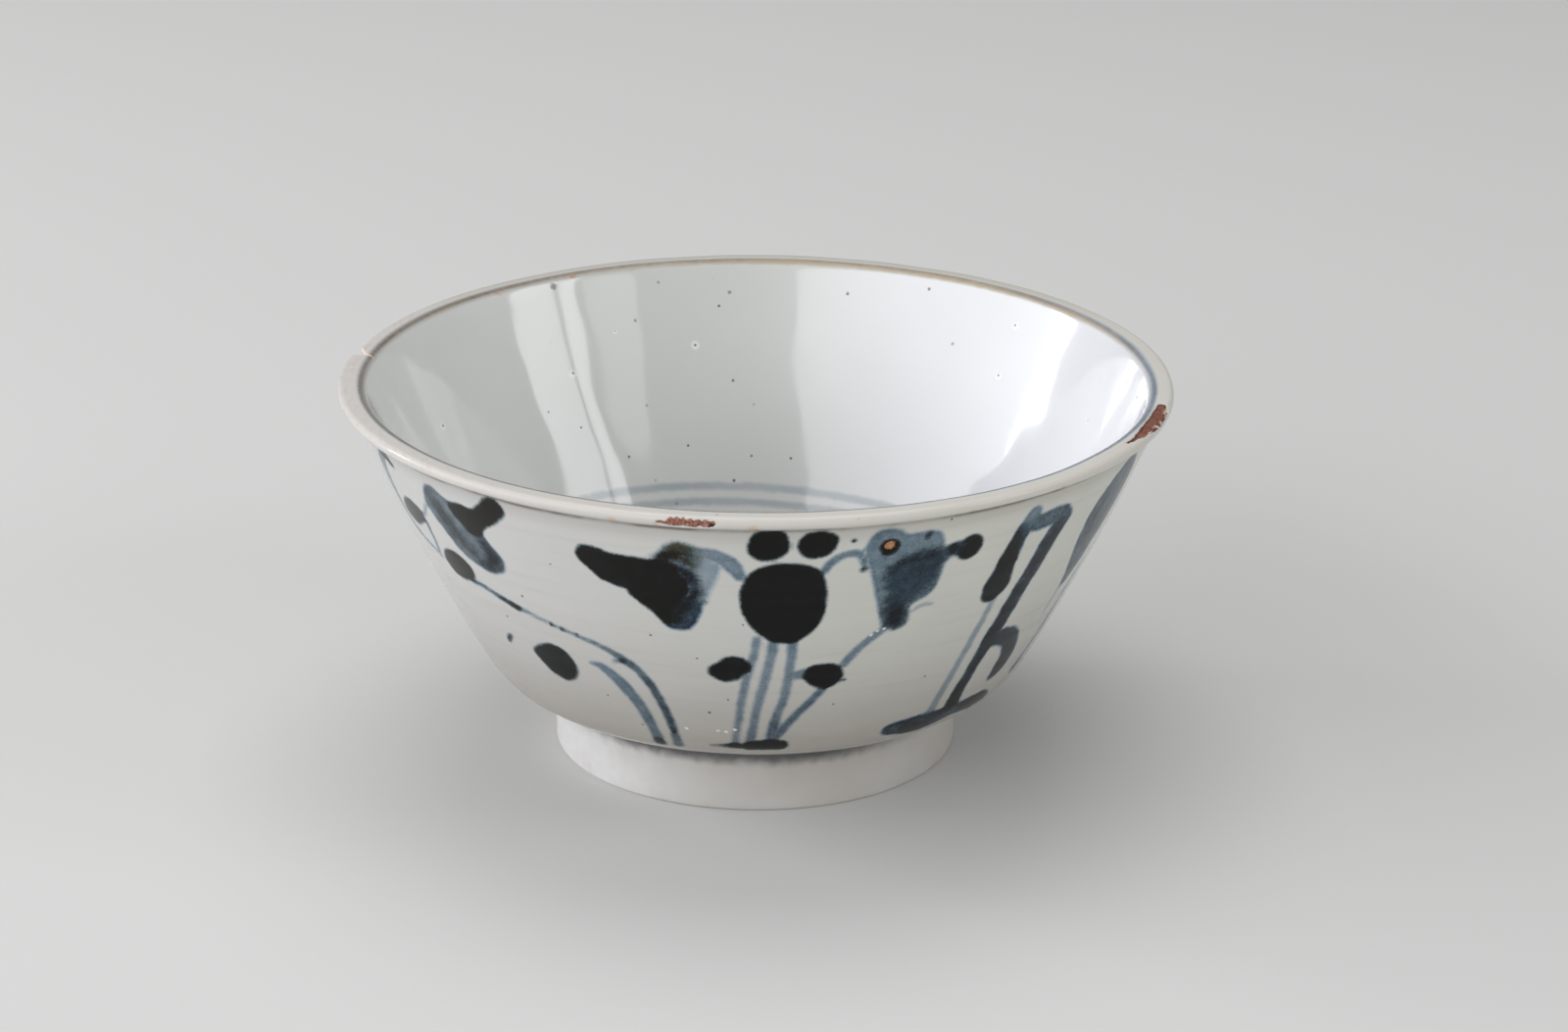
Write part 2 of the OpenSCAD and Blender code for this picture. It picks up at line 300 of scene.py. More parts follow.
# A mark is (warmth, load, points), with a fourth value where its edge is that many times softer.
# Points of two numbers are a closed outline, and points of three or four are a brush line:
# angle, height, half width, and load added there.
WASHES = [
    # left spray: petal, the bands that rise from its stem, and the leaf by the outline
    (0.4, 0.5, [(-143.7, 60), (-143, 62), (-141.8, 64), (-140, 64.6), (-138.6, 63.8), (-137, 62.8),
        (-134, 62.5), (-132.2, 60), (-131.3, 57), (-130.2, 55), (-129.3, 53), (-129.8, 51),
        (-131.5, 49.7), (-133.5, 49.3), (-136, 49.8), (-138.5, 51), (-140.2, 52.8), (-141.8, 55.5),
        (-143.2, 58)]),
    (0.1, 0.42, [(-153, 66, 1.0), (-155.5, 63, 1.4), (-156.6, 58, 1.5), (-156.2, 54, 1.2),
        (-155, 51.5, 0.9), (-152.8, 49.7, 0.65), (-150, 48.4, 0.55), (-147.8, 47.3, 0.5)]),
    (0.2, 0.4, [(-146.9, 56.2, 0.5), (-145.8, 56.8, 0.4), (-145, 58, 0.35), (-144, 59.2, 0.35)]),
    (0.2, 0.45, [(-147, 54.5, 0.6), (-147.1, 51.5, 0.55), (-147.6, 48.8, 0.5), (-148, 47.4, 0.45)]),
    # long stem from the left leaf down to the foot
    (0.3, 0.55, [(-140.5, 45.2, 0.5, 0.1), (-137.5, 45, 0.6), (-135, 44.3, 0.65), (-132.5, 43.6, 0.7),
        (-130.5, 43, 0.7), (-128.5, 42.6, 0.5, -0.15), (-126, 41.9, 0.45, -0.2),
        (-124, 41.3, 0.45, -0.2), (-121, 40.6, 0.42, -0.15), (-118, 39.8, 0.5, -0.15),
        (-115.5, 38.9, 0.6, -0.12), (-113, 37.5, 0.85, -0.1), (-111.5, 36.3, 1.0, -0.05),
        (-110, 35, 0.9, -0.05), (-108.7, 33, 0.9), (-107.4, 30, 0.85), (-106.6, 27, 0.85, 0.05),
        (-106, 24, 0.8, 0.05), (-105.6, 21.5, 0.75), (-105.5, 19, 0.85, -0.1),
        (-105.7, 17, 1.0, -0.1)]),
    (0.1, 0.45, [(-114, 35.7, 0.2), (-112.3, 36.1, 0.4)]),
    # shorter curved stem beside it
    (0, 0.47, [(-118.7, 34.2, 0.3), (-117, 34.1, 0.8), (-115.6, 33.1, 1.2), (-113.8, 31, 1.35),
        (-112.3, 28.5, 1.3), (-111.2, 26, 1.2), (-110.5, 23.5, 1.1), (-109.9, 21, 1.0),
        (-109.6, 19, 1.05), (-109.6, 17, 1.2)]),
    # middle flower: hump, loop to the round head, and the pale petal under it
    (1.0, 0.55, [(-102, 61.2, 1.2), (-100.3, 62.7, 1.5), (-98.6, 62.2, 1.5),
        (-97, 61.8, 1.4, -0.15)], 1.5),
    (0, 0.44, [(-98, 62.2, 1.2, 0.05), (-95.6, 61.9, 1.35), (-93.8, 60.8, 1.5), (-92.6, 59.2, 1.45),
        (-91.8, 57.3, 1.0)]),
    (0, 0.33, [(-99.5, 61), (-96.5, 61), (-94.6, 59.6), (-95, 57), (-95.9, 54.4), (-96.9, 51.3),
        (-98.3, 51), (-99.6, 54), (-100, 58)], 1.3),
    (0, 0.68, [(-98.6, 53), (-97.2, 51.9), (-97.4, 50), (-98, 48.2), (-98.9, 46.4), (-99.9, 45.3),
        (-101.6, 45.1), (-103.2, 45.9), (-103.6, 49), (-101, 52)]),
    # the three stems, and the loop to the right flower
    (0, 0.4, [(-89.4, 43.8, 0.75), (-89.9, 40, 0.7), (-91, 35, 0.7), (-91.9, 30, 0.7),
        (-92.6, 25, 0.65), (-93.2, 21.5, 0.6, -0.05), (-93.6, 18.5, 0.8)]),
    (0, 0.4, [(-86.9, 43, 0.9, 0.05), (-87.1, 40, 0.9), (-87.9, 35, 0.85), (-88.9, 30, 0.8),
        (-89.7, 25, 0.75), (-90.5, 20, 0.85, 0.05), (-90.8, 17.5, 0.9)]),
    (0, 0.42, [(-83.9, 43, 0.9, 0.05), (-83.95, 38, 0.8), (-84.2, 34, 0.8), (-84.6, 30, 0.8),
        (-85.6, 26, 0.8, 0.05), (-86.3, 22, 0.95, 0.1), (-86.4, 18, 1.1, 0.1)]),
    (0, 0.47, [(-80.3, 58.2, 0.7), (-79.4, 60.2, 0.8), (-77.8, 61.5, 0.8), (-76, 61.6, 0.75),
        (-75, 60.3, 0.65), (-74.7, 59, 0.55)]),
    # right flower and its stem
    (0, 0.47, [(-74.5, 64.5), (-73.5, 65.8), (-72, 66.2), (-70.5, 65.8), (-69.3, 64.7), (-68, 64.6),
        (-66, 64.7), (-64.3, 64), (-63.5, 62.5), (-63, 60.9), (-61.3, 60.9), (-61.3, 58.8), (-62.3, 57),
        (-62.5, 54), (-62.8, 52), (-63.8, 50.5), (-65.3, 49.6), (-66.3, 48.6), (-66.1, 46.8),
        (-65.9, 45.6), (-66.6, 44.3), (-68, 43.8), (-69.4, 44.3), (-70.4, 45.8), (-71.2, 48.2),
        (-72, 51.2), (-73, 55), (-73.8, 58), (-74.6, 60.5), (-74.9, 62.5)]),
    (0, 0.42, [(-69.9, 43.9, 0.8), (-72, 42, 0.85), (-73.8, 39.5, 0.85), (-75.2, 37, 0.8)]),
    (0, 0.5, [(-78.1, 31.6, 0.75), (-79.8, 29, 0.75), (-82, 26, 0.8), (-84, 23, 0.8),
        (-85.4, 20.8, 0.8)]),
    (0, 0.45, [(-83.9, 35.3, 0.8), (-82.4, 35.4, 1.2), (-80.8, 35.6, 1.5)]),
    (0, 0.32, [(-65.3, 47.9, 0.3), (-63.8, 48.6, 0.42), (-62.5, 48.4, 0.3)]),
    # gate: its bump, top bar, the thin stroke inside it, and the ground
    (0, 0.5, [(-48.6, 63.2, 1.7, -0.05), (-48.9, 61.8, 1.9), (-49.6, 60.2, 1.8, 0.15),
        (-50, 57.5, 1.9, 0.2), (-50.4, 54, 2.3, 0.2)]),
    (0, 0.6, [(-48.3, 61.2, 1.8), (-46.5, 60.8, 1.95), (-44.4, 61, 2.1), (-42.3, 60.8, 2.2),
        (-41.3, 59.6, 2.2, 0.1)]),
    (0, 0.7, [(-41.1, 59.8, 2.1, -0.05), (-42, 57.6, 2.3), (-42.9, 54, 2.3), (-43.6, 50, 2.15),
        (-44.6, 45, 2.1), (-45.4, 40, 2.05), (-46, 36.5, 2.1, 0.05), (-46.5, 33, 1.75),
        (-46.9, 30, 1.5), (-47.3, 26, 1.5), (-47.5, 23.4, 1.7, 0.1), (-47.2, 21, 1.8, 0.1)]),
    (0, 0.7, [(-45.6, 35.4, 2.0), (-43, 35.2, 2.2), (-40.4, 34.3, 2.2), (-38.4, 32.4, 2.2),
        (-37.2, 30, 2.2), (-36.9, 27.6, 2.3, 0.1), (-37, 26.2, 2.0, 0.1), (-37.8, 25, 1.4)]),
    (0, 0.3, [(-50.1, 45.8, 0.75), (-50.4, 42, 0.8), (-51.2, 36, 0.8), (-51.8, 31, 0.8),
        (-52.4, 26, 0.9), (-52.9, 21.5, 0.95)]),
    (0, 0.72, [(-61.4, 19.2, 1.8, -0.05), (-58, 19.0, 2.5), (-54, 18.8, 2.9), (-50, 19.0, 2.4, -0.05),
        (-46, 19.4, 1.8, -0.1), (-42, 19.5, 2.1), (-38, 19.2, 2.3)]),
    # leaf by the right outline, and the stem that falls from it
    (0, 0.64, [(-26.5, 66), (-29, 64.2), (-30.6, 62.2), (-32, 60), (-32.8, 57.5), (-33.1, 55),
        (-32.9, 52), (-32, 48.5), (-31, 45.5), (-30.2, 43), (-29.6, 40.5), (-27.6, 41.6), (-25.6, 45.4),
        (-23.8, 50), (-22.2, 54), (-21.5, 58), (-22, 62), (-23.8, 65.4)]),
    (0.3, 0.2, [(-29.6, 41, 0.5), (-29.7, 38, 0.5), (-30, 35.5, 0.3)]),
    (0, 0.45, [(-23, 44, 0.5), (-24, 39, 0.7), (-24.6, 34, 0.9), (-25.8, 27, 1.0),
        (-27.2, 22.6, 1.3)]),
    # the side that faces away: a spray of three leaves, a flower on two stems, and the ground
    (0, 0.42, [(4, 55, 0.8), (3, 46, 1.1), (4, 36, 1.1), (7, 26, 1.1), (9, 18, 1.2)]),
    (0, 0.42, [(52.2, 43, 1.1), (51.2, 34, 1.1), (49.2, 24, 1.1), (48.2, 18, 1.2)]),
    (0, 0.42, [(56.3, 43, 1.1), (56, 34, 1.1), (54.6, 24, 1.1), (53.8, 18, 1.2)]),
    (0, 0.33, [(61.5, 58.5, 1.0), (64.5, 61.5, 1.1), (68.5, 61, 1.1), (70.5, 57, 1.0)]),
    (0.1, 0.48, [(72, 64.5), (76, 65.5), (80, 63), (81, 57), (79, 50.5), (75.5, 47.5), (72.5, 51),
        (70, 58)]),
    (0, 0.45, [(75.5, 47.5, 1.1), (71.5, 40, 1.1), (66, 31, 1.1), (60, 22, 1.2)]),
    (0, 0.42, [(112, 60, 0.8), (108.5, 50, 1.1), (107.5, 38, 1.1), (109.5, 26, 1.1), (111, 18, 1.2)]),
    (0, 0.42, [(131, 42, 0.7), (126, 36, 1.0), (120.5, 28, 1.1), (117, 18, 1.2)]),
    (0.1, 0.5, [(158, 62), (161.5, 64), (164.5, 62.5), (165.5, 57.5), (164, 52), (160.5, 48.5),
        (157.5, 51), (156.3, 57)]),
    (0, 0.42, [(160.3, 49, 1.0), (158, 40, 1.1), (157.5, 30, 1.1), (159, 19, 1.2)]),
]
INKS = [
    # left spray
    (1.0, 0.85, [(-154.3, 65.6, 0.7), (-152.5, 65.3, 0.9), (-150.9, 64.1, 0.6)]),
    (0.9, 0.93, [(-154.4, 54.5), (-153.5, 56), (-152, 57.3), (-150, 57.7), (-148, 57.2), (-147, 56),
        (-147.3, 54.6), (-148.5, 53.8), (-150, 52.9), (-151.5, 52.3), (-153, 52.8), (-154.2, 53.6)]),
    (1.0, 0.9, [(-146.3, 47.5), (-145.5, 49), (-144, 50.2), (-142, 50.4), (-140, 49.8), (-138.7, 48.6),
        (-138.5, 47), (-139.5, 45.6), (-141, 45), (-142.5, 44.6), (-144.5, 44.8), (-145.8, 45.9)]),
    (0.6, 0.34, [(-141, 62, 1.2, -0.2), (-140.6, 60, 1.7), (-139.6, 57.5, 1.9), (-138.2, 54.8, 1.6),
        (-136.2, 52.6, 1.3, -0.1)], 2.2),
    (0.2, 0.6, [(-132.2, 55.4, 1.3, -0.1), (-131.6, 53.2, 1.6), (-132.6, 51.2, 1.3),
        (-134.5, 50.6, 1.0, -0.1)], 2),
    (1.0, 0.98, [(-136.8, 62.4), (-134.5, 63), (-132.3, 62.7), (-130.5, 64), (-129, 65.8),
        (-127.8, 66.7), (-126.3, 66.3), (-125.6, 64.8), (-126, 63.3), (-127.5, 61.8), (-129.5, 60.3),
        (-131, 59), (-132.2, 57.3), (-133.3, 56.7), (-134.7, 57.3), (-135.8, 58.8), (-137, 60.2),
        (-137.3, 61.5)]),
    (1.0, 0.75, [(-133.5, 43.8, 0.45, -0.2), (-131.5, 43.2, 0.7), (-130.3, 42.9, 0.7)]),
    (0.6, 0.9, dot(-124, 41.3, 0.42)),
    (0.6, 0.9, dot(-122.2, 40.8, 0.42)),
    (0.6, 0.7, dot(-119.4, 40.4, 0.35)),
    (0.2, 0.55, dot(-112, 36.3, 0.65)),
    (0.2, 0.7, dot(-105.6, 20.8, 0.65)),
    (0.1, 0.75, dot(-109.6, 17.4, 1.1)),
    (0.25, 0.93, [(-131.3, 33.3), (-130.2, 34.5), (-128.5, 35.5), (-126.7, 36.2), (-124.5, 36),
        (-123, 34.9), (-122.3, 33), (-122.3, 31.2), (-123.3, 29.7), (-125, 28.5), (-126.8, 28.4),
        (-128.8, 29.2), (-130.2, 30.8), (-131.2, 32.2)]),
    (1.0, 0.95, [(-138, 33, 0.3), (-137.2, 34, 0.42), (-136.3, 34.9, 0.28)]),
    # middle flower: the arm and the body
    (0.6, 1.0, [(-115, 59.2), (-114.4, 60.8), (-112.8, 61.3), (-111, 60.8), (-109.6, 60.3),
        (-107, 60.1), (-104, 60), (-102.4, 60.4), (-101.3, 60), (-100, 58), (-99.1, 55.6),
        (-99.2, 53.4), (-100.5, 51.2), (-101.7, 49.6), (-101.9, 47.4), (-102.7, 46.4), (-103.6, 46.6),
        (-104.6, 48.2), (-106.2, 50.1), (-107.9, 51.7), (-108.4, 53), (-110, 53.6), (-112, 54.5),
        (-113.2, 56), (-114.7, 57.8)]),
    (1.0, 0.72, [(-103, 60.4, 0.8), (-101.2, 60.9, 1.5), (-99.6, 60.6, 1.5, -0.1),
        (-98.2, 59.6, 1.1, -0.35)], 2.2),
    (0.5, 0.85, [(-101, 59, 1.4), (-99.2, 57.6, 1.2, -0.1), (-98.6, 55.4, 0.9, -0.3)], 2),
    (0.3, 0.7, [(-100.6, 60.2, 0.6, -0.2), (-99, 57.6, 1.0), (-98.2, 55, 1.0), (-98.6, 52.6, 0.8),
        (-100.4, 50.2, 0.9), (-101.6, 47.4, 1.0)], 2.4),
    (0.2, 0.5, [(-99.8, 51.5, 0.3), (-96.8, 51.5, 0.2)]),
    # round head, the two dabs over it, and the leaves on the stems
    (0.3, 1.0, [(-85.5, 60.2), (-83, 59.8), (-81, 58.5), (-80, 56.3), (-79.5, 53), (-79.5, 50),
        (-80.2, 47), (-81.5, 45), (-83, 43.3), (-84.6, 42.8), (-86.5, 43), (-88.2, 44), (-89.8, 45.8),
        (-91, 48), (-91.8, 51), (-91.8, 54), (-91.2, 56.5), (-90, 58.5), (-88, 59.8)]),
    (0.5, 1.0, [(-90.2, 66), (-89, 67), (-86.8, 67.1), (-85.6, 65.8), (-85.3, 63.5), (-86, 61.8),
        (-88.6, 60.9), (-90.2, 61.9), (-90.8, 63.7)]),
    (0.5, 1.0, [(-83.7, 65.6), (-82.6, 66.5), (-80.6, 66.6), (-79.1, 65.6), (-78.9, 63.9),
        (-79.6, 62.2), (-81.3, 61.3), (-83, 61.5), (-84, 63), (-84.1, 64.4)]),
    (0.2, 0.98, [(-97.4, 36), (-97, 37.2), (-95.8, 38), (-94.5, 39.3), (-93, 39.7), (-91.5, 39.2),
        (-90.6, 37.8), (-90.5, 36.6), (-91.6, 35.6), (-92.5, 34.4), (-94.5, 33.8), (-96, 34.3),
        (-97.1, 35.2)]),
    (0.2, 0.98, [(-81.4, 36), (-80.5, 37.1), (-78.8, 37.6), (-76.8, 37.4), (-75.5, 36.5), (-75, 35),
        (-75.1, 33.8), (-76.3, 32.4), (-77.8, 31.8), (-79.3, 32.2), (-80.8, 33.6), (-81.6, 34.8)]),
    (0.5, 0.9, [(-75.4, 33.6, 0.3), (-74.4, 33.5, 0.25)]),
    (0.3, 0.8, dot(-74.7, 58.2, 0.6)),
    (1.0, 0.9, dot(-76.7, 64.4, 0.34)),
    (0.2, 1.0, [(-98.5, 17.8, 0.25, -0.4), (-95.5, 17.9, 0.6, -0.2), (-93.8, 18, 1.0),
        (-92, 17.9, 0.8, -0.1), (-90, 18.1, 1.5), (-87, 18.2, 1.8), (-84.9, 18.2, 1.7)]),
    # right flower: dark inside, the arm's end, and small strokes
    (0.1, 0.42, [(-71.4, 57), (-70.2, 59), (-67.6, 60), (-65.6, 60.4), (-63.8, 60.4), (-61.8, 60.2),
        (-61.9, 58.4), (-62.8, 57), (-63.2, 54.6), (-63.8, 52), (-65.2, 50.7), (-66.7, 49.4),
        (-66.5, 47), (-66.6, 45.4), (-67.7, 44.4), (-69, 44.8), (-70, 46.4), (-70.5, 49), (-70.4, 52),
        (-71.2, 55)], 2.4),
    (0.2, 0.9, [(-69.2, 51.5, 0.9, -0.4), (-68.9, 49.6, 1.2, -0.1), (-68.3, 47.4, 1.5),
        (-67.9, 45.8, 1.3)], 1.7),
    (0.2, 0.8, [(-70.6, 57.4, 0.6, -0.3), (-68.6, 58.6, 0.9, -0.1), (-66.6, 58.9, 0.9),
        (-64.6, 59.4, 1.0), (-63.2, 58.6, 0.9)], 1.9),
    (0.1, 0.75, [(-67.6, 58, 0.7, -0.1), (-67.9, 55.6, 0.8), (-67.2, 53.4, 0.7, -0.1),
        (-67.6, 51.4, 0.6, -0.2)], 2),
    (0.1, 0.7, [(-63.6, 58, 0.7), (-64.6, 55.4, 0.8), (-66, 53.2, 0.7, -0.2)], 2),
    (0.1, 0.6, [(-70.4, 55.6, 0.6, -0.1), (-69, 54, 0.7), (-68, 52.6, 0.6, -0.1)], 2),
    (0.7, 1.0, dot(-58.9, 59.5, 2.5, 2.8)),
    (0.1, 0.7, [(-61.6, 59.8, 1.5), (-60.4, 59.7, 1.8)]),
    (1.0, 1.0, dot(-71.5, 62.3, 1.6, 1.7)),
    (0.8, 0.6, dot(-66.2, 63.8, 0.45, 0.8)),
    # gate: the two legs and the hook
    (0.1, 0.95, [(-50.4, 59.4, 0.9, -0.4), (-50.5, 57.5, 1.4, -0.25), (-50.7, 55, 1.9, -0.05),
        (-50.7, 52, 2.4), (-50.8, 50, 2.9), (-50.8, 48.6, 2.9), (-51.1, 47.6, 2.3)]),
    (0, 0.42, [(-41.6, 58.6, 0.8, -0.1), (-42.9, 54, 1.1), (-43.6, 50, 1.0, 0.05), (-44.6, 45, 0.9),
        (-45.4, 40, 1.0, 0.1), (-46, 36.5, 1.0, 0.15), (-46.5, 33, 0.7, 0.1), (-46.9, 30, 0.6),
        (-47.3, 26, 0.7, 0.1), (-47.5, 23.4, 0.9, 0.3), (-47.2, 21, 1.0, 0.3)], 2.2),
    (0, 0.42, [(-45, 35.3, 0.9), (-43, 35.2, 1.0), (-40.4, 34.3, 1.0), (-38.4, 32.4, 1.0),
        (-37.2, 30, 1.1, 0.1), (-36.9, 27.6, 1.3, 0.3), (-37, 26.2, 1.0, 0.3)], 2.2),
    (0.1, 0.62, [(-58, 18.2, 0.9, -0.2), (-55, 18, 1.2), (-52.4, 18.4, 1.0, -0.1),
        (-49, 20, 0.9, -0.3)], 1.4),
    (0.1, 0.85, [(-42.6, 19.8, 1.2, -0.3), (-40, 19.8, 1.6), (-37.6, 19.6, 1.8), (-35.6, 19, 1.5),
        (-34.2, 18.4, 0.9)]),
    # streaks in the right leaf
    (0, 0.35, [(-24.6, 62.5, 0.8), (-25.2, 58, 0.9), (-26.2, 53, 0.9), (-27.6, 48, 0.8)]),
    (0, 0.3, [(-29, 60, 0.6), (-30, 55, 0.8), (-29.2, 50, 0.7)]),
    (0, 0.5, [(-27.2, 22.8, 1.2), (-25.6, 23.6, 0.8)]),
    # the side that faces away
    (0.3, 0.95, [(-1, 60), (1.5, 62.5), (4.5, 62), (6.5, 59.5), (6, 56), (4, 54), (1, 55),
        (-1, 57.5)]),
    (0.2, 0.93, [(6, 44), (9, 47), (12, 47), (13, 44.5), (11, 42), (7.5, 41.5)]),
    (0.2, 0.93, [(-4.5, 34), (-3, 37.5), (-0.5, 38.5), (2.5, 36.5), (2, 33.5), (-1.5, 32)]),
    (0.3, 1.0, [(50, 58.5), (54, 60.2), (58, 58.5), (59.7, 53.5), (58.5, 47), (54.5, 43.5), (50.5, 45),
        (48.3, 51)]),
    (0.5, 1.0, dot(51, 64.3, 2.9)),
    (0.5, 1.0, dot(57.6, 64.1, 2.7)),
    (0.1, 0.65, [(74, 60), (77.5, 60.5), (79, 57), (77.5, 51.5), (75, 50.5), (73, 55)]),
    (0.2, 0.97, [(59, 37), (61.5, 38.8), (65, 38), (65.5, 35), (62.5, 33), (59.5, 34)]),
    (0.2, 1.0, [(46, 18, 0.8, -0.2), (50, 18.2, 1.7), (56, 18.2, 1.7), (61, 18.1, 0.8, -0.2)]),
    (0.6, 0.97, [(109.5, 63), (112, 65), (115, 63.5), (115.5, 60.5), (112.5, 58.5), (110, 60)]),
    (0.3, 0.93, [(97, 41), (99.5, 44), (103, 44.5), (105.8, 42), (104.5, 39), (100, 38)]),
    (0.3, 0.93, [(129.5, 44), (132, 46), (135, 45), (135.5, 42), (132.5, 40.2), (130, 41.5)]),
    (0.1, 0.75, [(105, 18.1, 1.0, -0.2), (111, 18.3, 1.7), (118, 18.2, 1.3), (123, 18.2, 0.7, -0.3)]),
    (0.9, 0.9, [(148, 42), (150.5, 44.5), (154, 44.8), (156.5, 43), (155, 40.5), (151, 39.8)]),
    (0.2, 0.45, [(161.5, 60, 1.0), (161, 56, 1.3), (160.5, 52, 1.0)]),
]

# Outlines of the two flaked places on the lip, as angle and reach.
WORN = [(-11.4, 1.0), (-11.9, 0.2), (-13, -0.5), (-14.6, -1.1), (-16.4, -1.3), (-18, -1.45),
        (-19.6, -1.3), (-20.8, -1.35), (-22.4, -1.1), (-23.6, -0.75), (-25.2, -0.6), (-26.4, -0.1),
        (-27.6, 0.1), (-29, 0.75), (-29.7, 1.0), (-28.6, 1.15), (-26.5, 1.0), (-25, 1.3),
        (-22.8, 1.55), (-20, 1.75), (-17.5, 1.7), (-14.5, 1.7), (-12.3, 1.5)]
FLAKED = [(-102.4, -1.75), (-101.8, -1.4), (-101.1, -1.5), (-100.7, -1.0), (-100.4, -0.6),
          (-100, -0.85), (-99.6, -0.4), (-99.2, -0.75), (-98.8, -0.45), (-98.4, -0.95),
          (-97.9, -0.7), (-97.4, -1.0), (-96.9, -0.8), (-96.4, -1.05), (-96, -0.75),
          (-95.5, -1.0), (-95, -0.9), (-94.7, -1.4), (-94.9, -1.95), (-95.6, -2.25),
          (-96.6, -2.2), (-97.6, -2.4), (-98.6, -2.3), (-99.6, -2.45), (-100.5, -2.2),
          (-101.3, -2.05)]
WORN_DEPTH = 0.32
FLAKED_DEPTH = 0.36

# Small round things in the glaze: angle, height, size across in millimetres, and whether inside.
IRON = (-71.6, 62.7, 1.0, False)
FLAKE_PIT = (-95.2, bowl_h - 1.4, 1.0, False)
SPECKS = [
    (-106, 43.3, 0.4, False), (-99, 38.9, 0.3, False), (-112, 21.3, 0.3, False),
    (-91.5, 46.9, 0.28, False), (-63.2, 66.3, 0.3, False), (-128.2, 46.1, 0.35, False),
    (-98, 26.2, 0.45, False), (-79.5, 9.6, 0.5, False), (-134.6, 39.5, 0.35, False),
    (-120, 55.5, 0.3, False), (-117.5, 27, 0.3, False), (-94.4, 29.5, 0.28, False),
    (-58.5, 31, 0.3, False), (-75.5, 27.8, 0.28, False), (125.1, 68.0, 0.9, True),
    (95.4, 30.1, 0.45, True), (75.5, 64.2, 0.5, True), (61.7, 66.9, 0.5, True),
    (104.6, 36.6, 0.35, True), (91.6, 34.4, 0.35, True), (83.4, 34.1, 0.35, True),
    (117.4, 35.9, 0.35, True), (1.5, 65.2, 0.45, True), (95.0, 47.8, 0.4, True),
    (97.0, 61.3, 0.35, True), (132.3, 46.5, 0.3, True), (126.2, 42.5, 0.35, True),
]
PINHOLES = [
    (125.1, 52.1, 0.9, True), (101.5, 54.4, 0.9, True), (160, 51.6, 1.0, True),
    (44, 64, 0.8, True), (44.2, 54.7, 0.8, True), (34.7, 65, 0.7, True),
    (9.3, 64.9, 0.8, True), (115.5, 58.2, 0.5, True), (16.9, 54.6, 0.5, True),
]
# Painted glints: white spots where light glints off blisters in the glaze.
BLISTER_GLINTS = [
    (-96.7, 21.8, 1, False), (-95.2, 21.6, 1, False), (-93.5, 22.2, 1, False),
    (-102.9, 21.8, 1, False), (-71.5, 43.3, 1, False), (-70.6, 44, 1, False), (-69.6, 44.4, 1, False),
]
stain_h = bowl_h - 1.9
STAINS = [
    (-90.1, stain_h, 1.5, False), (-102.3, stain_h, 1.0, False), (-108.1, stain_h, 1.4, False),
    (-46, stain_h, 1.2, False), (-128.6, stain_h, 1.0, False), (-61, stain_h, 0.8, False),
    (150, stain_h, 1.2, False),
]


# ---------------------------------------------------------------- the bowl's surface


# Stretches with closer columns, as two angles and the degrees between columns: the brushwork, the
# flake, the worn patch and the notch.
CLOSER = [(-158, -23, 0.6), (-104, -94, 0.24), (-31, -10.5, 0.3), (165, 176, 0.4)]


def columns():
    """Angles of the surface's columns: close where the brushwork and breaks are, wide behind."""
    a = np.linspace(-180, 180, 7201)
    gap = np.full(len(a), 1.12)
    for start, end, step in CLOSER:
        gap[(a > start) & (a < end)] = step
    count = np.concatenate([[0], np.cumsum((1 / gap[:-1] + 1 / gap[1:]) / 2 * np.diff(a))])
    n = int(round(count[-1]))
    return np.interp(np.arange(n) * count[-1] / n, count, a)


def places(co):
    """Each vertex as (angle, reach, distance from the axis), reach being that of the nearest
    point of the section."""
    mm = co / MM
    r, z = np.hypot(mm[:, 0], mm[:, 1]), mm[:, 2]
    best = np.full(len(co), 1e9)
    reach = np.zeros(len(co))
    for i, (a, b) in enumerate(zip(line[:-1], line[1:])):
        d = b - a
        t = np.clip(((r - a[0]) * d[0] + (z - a[1]) * d[1]) / (d @ d), 0, 1)
        away = np.hypot(r - a[0] - t * d[0], z - a[1] - t * d[1])
        closer = away < best
        best[closer] = away[closer]
        reach[closer] = run_mm[i] + t[closer] * steps[i]
    return np.stack([np.degrees(np.arctan2(mm[:, 1], mm[:, 0])), reach, r], 1)


def sunk(at, co, outline, depth, seed):
    """Depth of a flaked place: full inside its outline, rough, and gone 0.15 outside it."""
    chosen, inside = patch(at, outline)
    out = np.zeros(len(at))
    mm = co[chosen] / MM
    edge = inside + 0.14 * ripple(mm, 0.35, seed)
    rough = 0.8 + 0.25 * ripple(mm, 0.3, seed + 1) + 0.2 * ripple(mm, 0.12, seed + 2)
    out[chosen] = depth * eased(edge / 0.3 + 0.5) * rough
    return out


